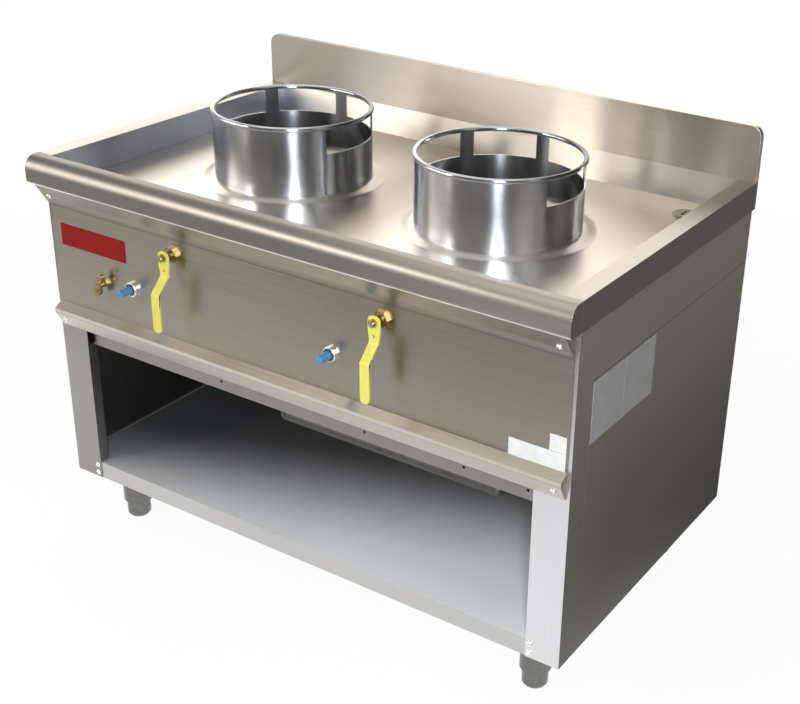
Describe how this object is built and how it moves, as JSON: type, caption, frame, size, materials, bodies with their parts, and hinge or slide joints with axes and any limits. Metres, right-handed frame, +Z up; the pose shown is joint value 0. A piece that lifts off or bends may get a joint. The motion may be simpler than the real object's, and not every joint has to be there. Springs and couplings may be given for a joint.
{
  "type": "gas wok range",
  "caption": "Floor-standing stainless gas wok range with a sunk basin, windowed wok rings, a splashback, a lever-valve control panel and an open cabinet on adjustable feet.",
  "frame": {"origin": "on the floor, below the middle of the range's overall width and depth", "axes": "+X to the right as seen from the front, +Y towards the splashback, +Z up"},
  "size_m": [1.3, 0.824, 1.02],
  "materials": {
    "stainless": "brushed",
    "polished_steel": "polished",
    "bright_screw": "polished",
    "red_plate": "satin",
    "white_plate": "matte",
    "grey_plate": "satin",
    "leg_steel": "satin",
    "pipe_steel": "matte",
    "cast_iron": "rough",
    "brass": "satin",
    "ball_steel": "polished",
    "yellow_paint": "gloss",
    "black_plastic": "matte",
    "blue_plastic": "gloss",
    "lead": "satin",
    "ceramic": "glazed",
    "copper": "satin"
  },
  "bodies": {
    "cabinet": {"front_rim": "stainless", "left_rim": "stainless", "right_rim": "stainless", "basin_wall": "stainless", "basin_floor": "stainless", "burner_collars": "stainless", "splashback": "stainless", "drain_fitting": "polished_steel", "drain_grate": "polished_steel", "left_side_panel": "stainless", "right_side_panel": "stainless", "left_apron": "stainless", "right_apron": "stainless", "back_panel": "stainless", "left_post": "stainless", "right_post": "stainless", "shelf": "stainless", "compartment_floor": "stainless", "control_panel": "stainless", "panel_screws": "bright_screw", "post_screws": "bright_screw", "badge_plate": "red_plate", "notice_plates": "white_plate", "side_plates": "grey_plate", "leg_sockets": "leg_steel", "burner_rails": "pipe_steel", "left_burner_bowl": "cast_iron", "right_burner_bowl": "cast_iron", "left_burner_cap": "cast_iron", "right_burner_cap": "cast_iron", "mixing_tubes": "pipe_steel", "injector_elbows": "brass", "left_valve_body": "brass", "right_valve_body": "brass", "panel_nuts": "brass", "igniter_bodies": "black_plastic", "igniter_collars": "bright_screw", "button_springs": "ball_steel", "igniter_leads": "lead", "spark_electrodes": "ceramic", "pilot_tap_body": "brass", "pilot_line": "copper", "gas_manifold": "pipe_steel", "supply_pipe": "pipe_steel"},
    "left_lever": {"left_lever": "yellow_paint", "left_valve_ball": "ball_steel", "left_lever_nut": "brass"},
    "right_lever": {"right_lever": "yellow_paint", "right_valve_ball": "ball_steel", "right_lever_nut": "brass"},
    "left_button": {"left_button": "blue_plastic"},
    "right_button": {"right_button": "blue_plastic"},
    "pilot_tap_handle": {"pilot_tap_handle": "brass"},
    "left_wok_ring": {"left_wok_ring": "polished_steel"},
    "right_wok_ring": {"right_wok_ring": "polished_steel"},
    "front_left_foot": {"front_left_foot": "leg_steel"},
    "front_right_foot": {"front_right_foot": "leg_steel"},
    "rear_left_foot": {"rear_left_foot": "leg_steel"},
    "rear_right_foot": {"rear_right_foot": "leg_steel"}
  },
  "joints": [
    {"name": "left_lever_turn", "type": "hinge", "parent": "cabinet", "child": "left_lever", "pos_m": [-0.289, -0.377, 0.755], "axis": [0, -1, 0], "range_deg": [0, 90]},
    {"name": "right_lever_turn", "type": "hinge", "parent": "cabinet", "child": "right_lever", "pos_m": [0.235, -0.377, 0.755], "axis": [0, -1, 0], "range_deg": [0, 90]},
    {"name": "left_button_push", "type": "slide", "parent": "cabinet", "child": "left_button", "axis": [0, 1, 0], "range_m": [0, 0.006], "stiffness_N_per_m": 500, "springref_m": -0.004},
    {"name": "right_button_push", "type": "slide", "parent": "cabinet", "child": "right_button", "axis": [0, 1, 0], "range_m": [0, 0.006], "stiffness_N_per_m": 500, "springref_m": -0.004},
    {"name": "pilot_tap_turn", "type": "hinge", "parent": "cabinet", "child": "pilot_tap_handle", "pos_m": [-0.49, -0.366, 0.642], "axis": [0, -1, 0], "range_deg": [0, 90]},
    {"name": "left_ring_lift", "type": "slide", "parent": "cabinet", "child": "left_wok_ring", "axis": [0, 0, 1], "range_m": [0, 0.15]},
    {"name": "right_ring_lift", "type": "slide", "parent": "cabinet", "child": "right_wok_ring", "axis": [0, 0, 1], "range_m": [0, 0.15]},
    {"name": "front_left_foot_adjust", "type": "slide", "parent": "cabinet", "child": "front_left_foot", "axis": [0, 0, -1], "range_m": [0, 0.025]},
    {"name": "front_right_foot_adjust", "type": "slide", "parent": "cabinet", "child": "front_right_foot", "axis": [0, 0, -1], "range_m": [0, 0.025]},
    {"name": "rear_left_foot_adjust", "type": "slide", "parent": "cabinet", "child": "rear_left_foot", "axis": [0, 0, -1], "range_m": [0, 0.025]},
    {"name": "rear_right_foot_adjust", "type": "slide", "parent": "cabinet", "child": "rear_right_foot", "axis": [0, 0, -1], "range_m": [0, 0.025]}
  ]
}
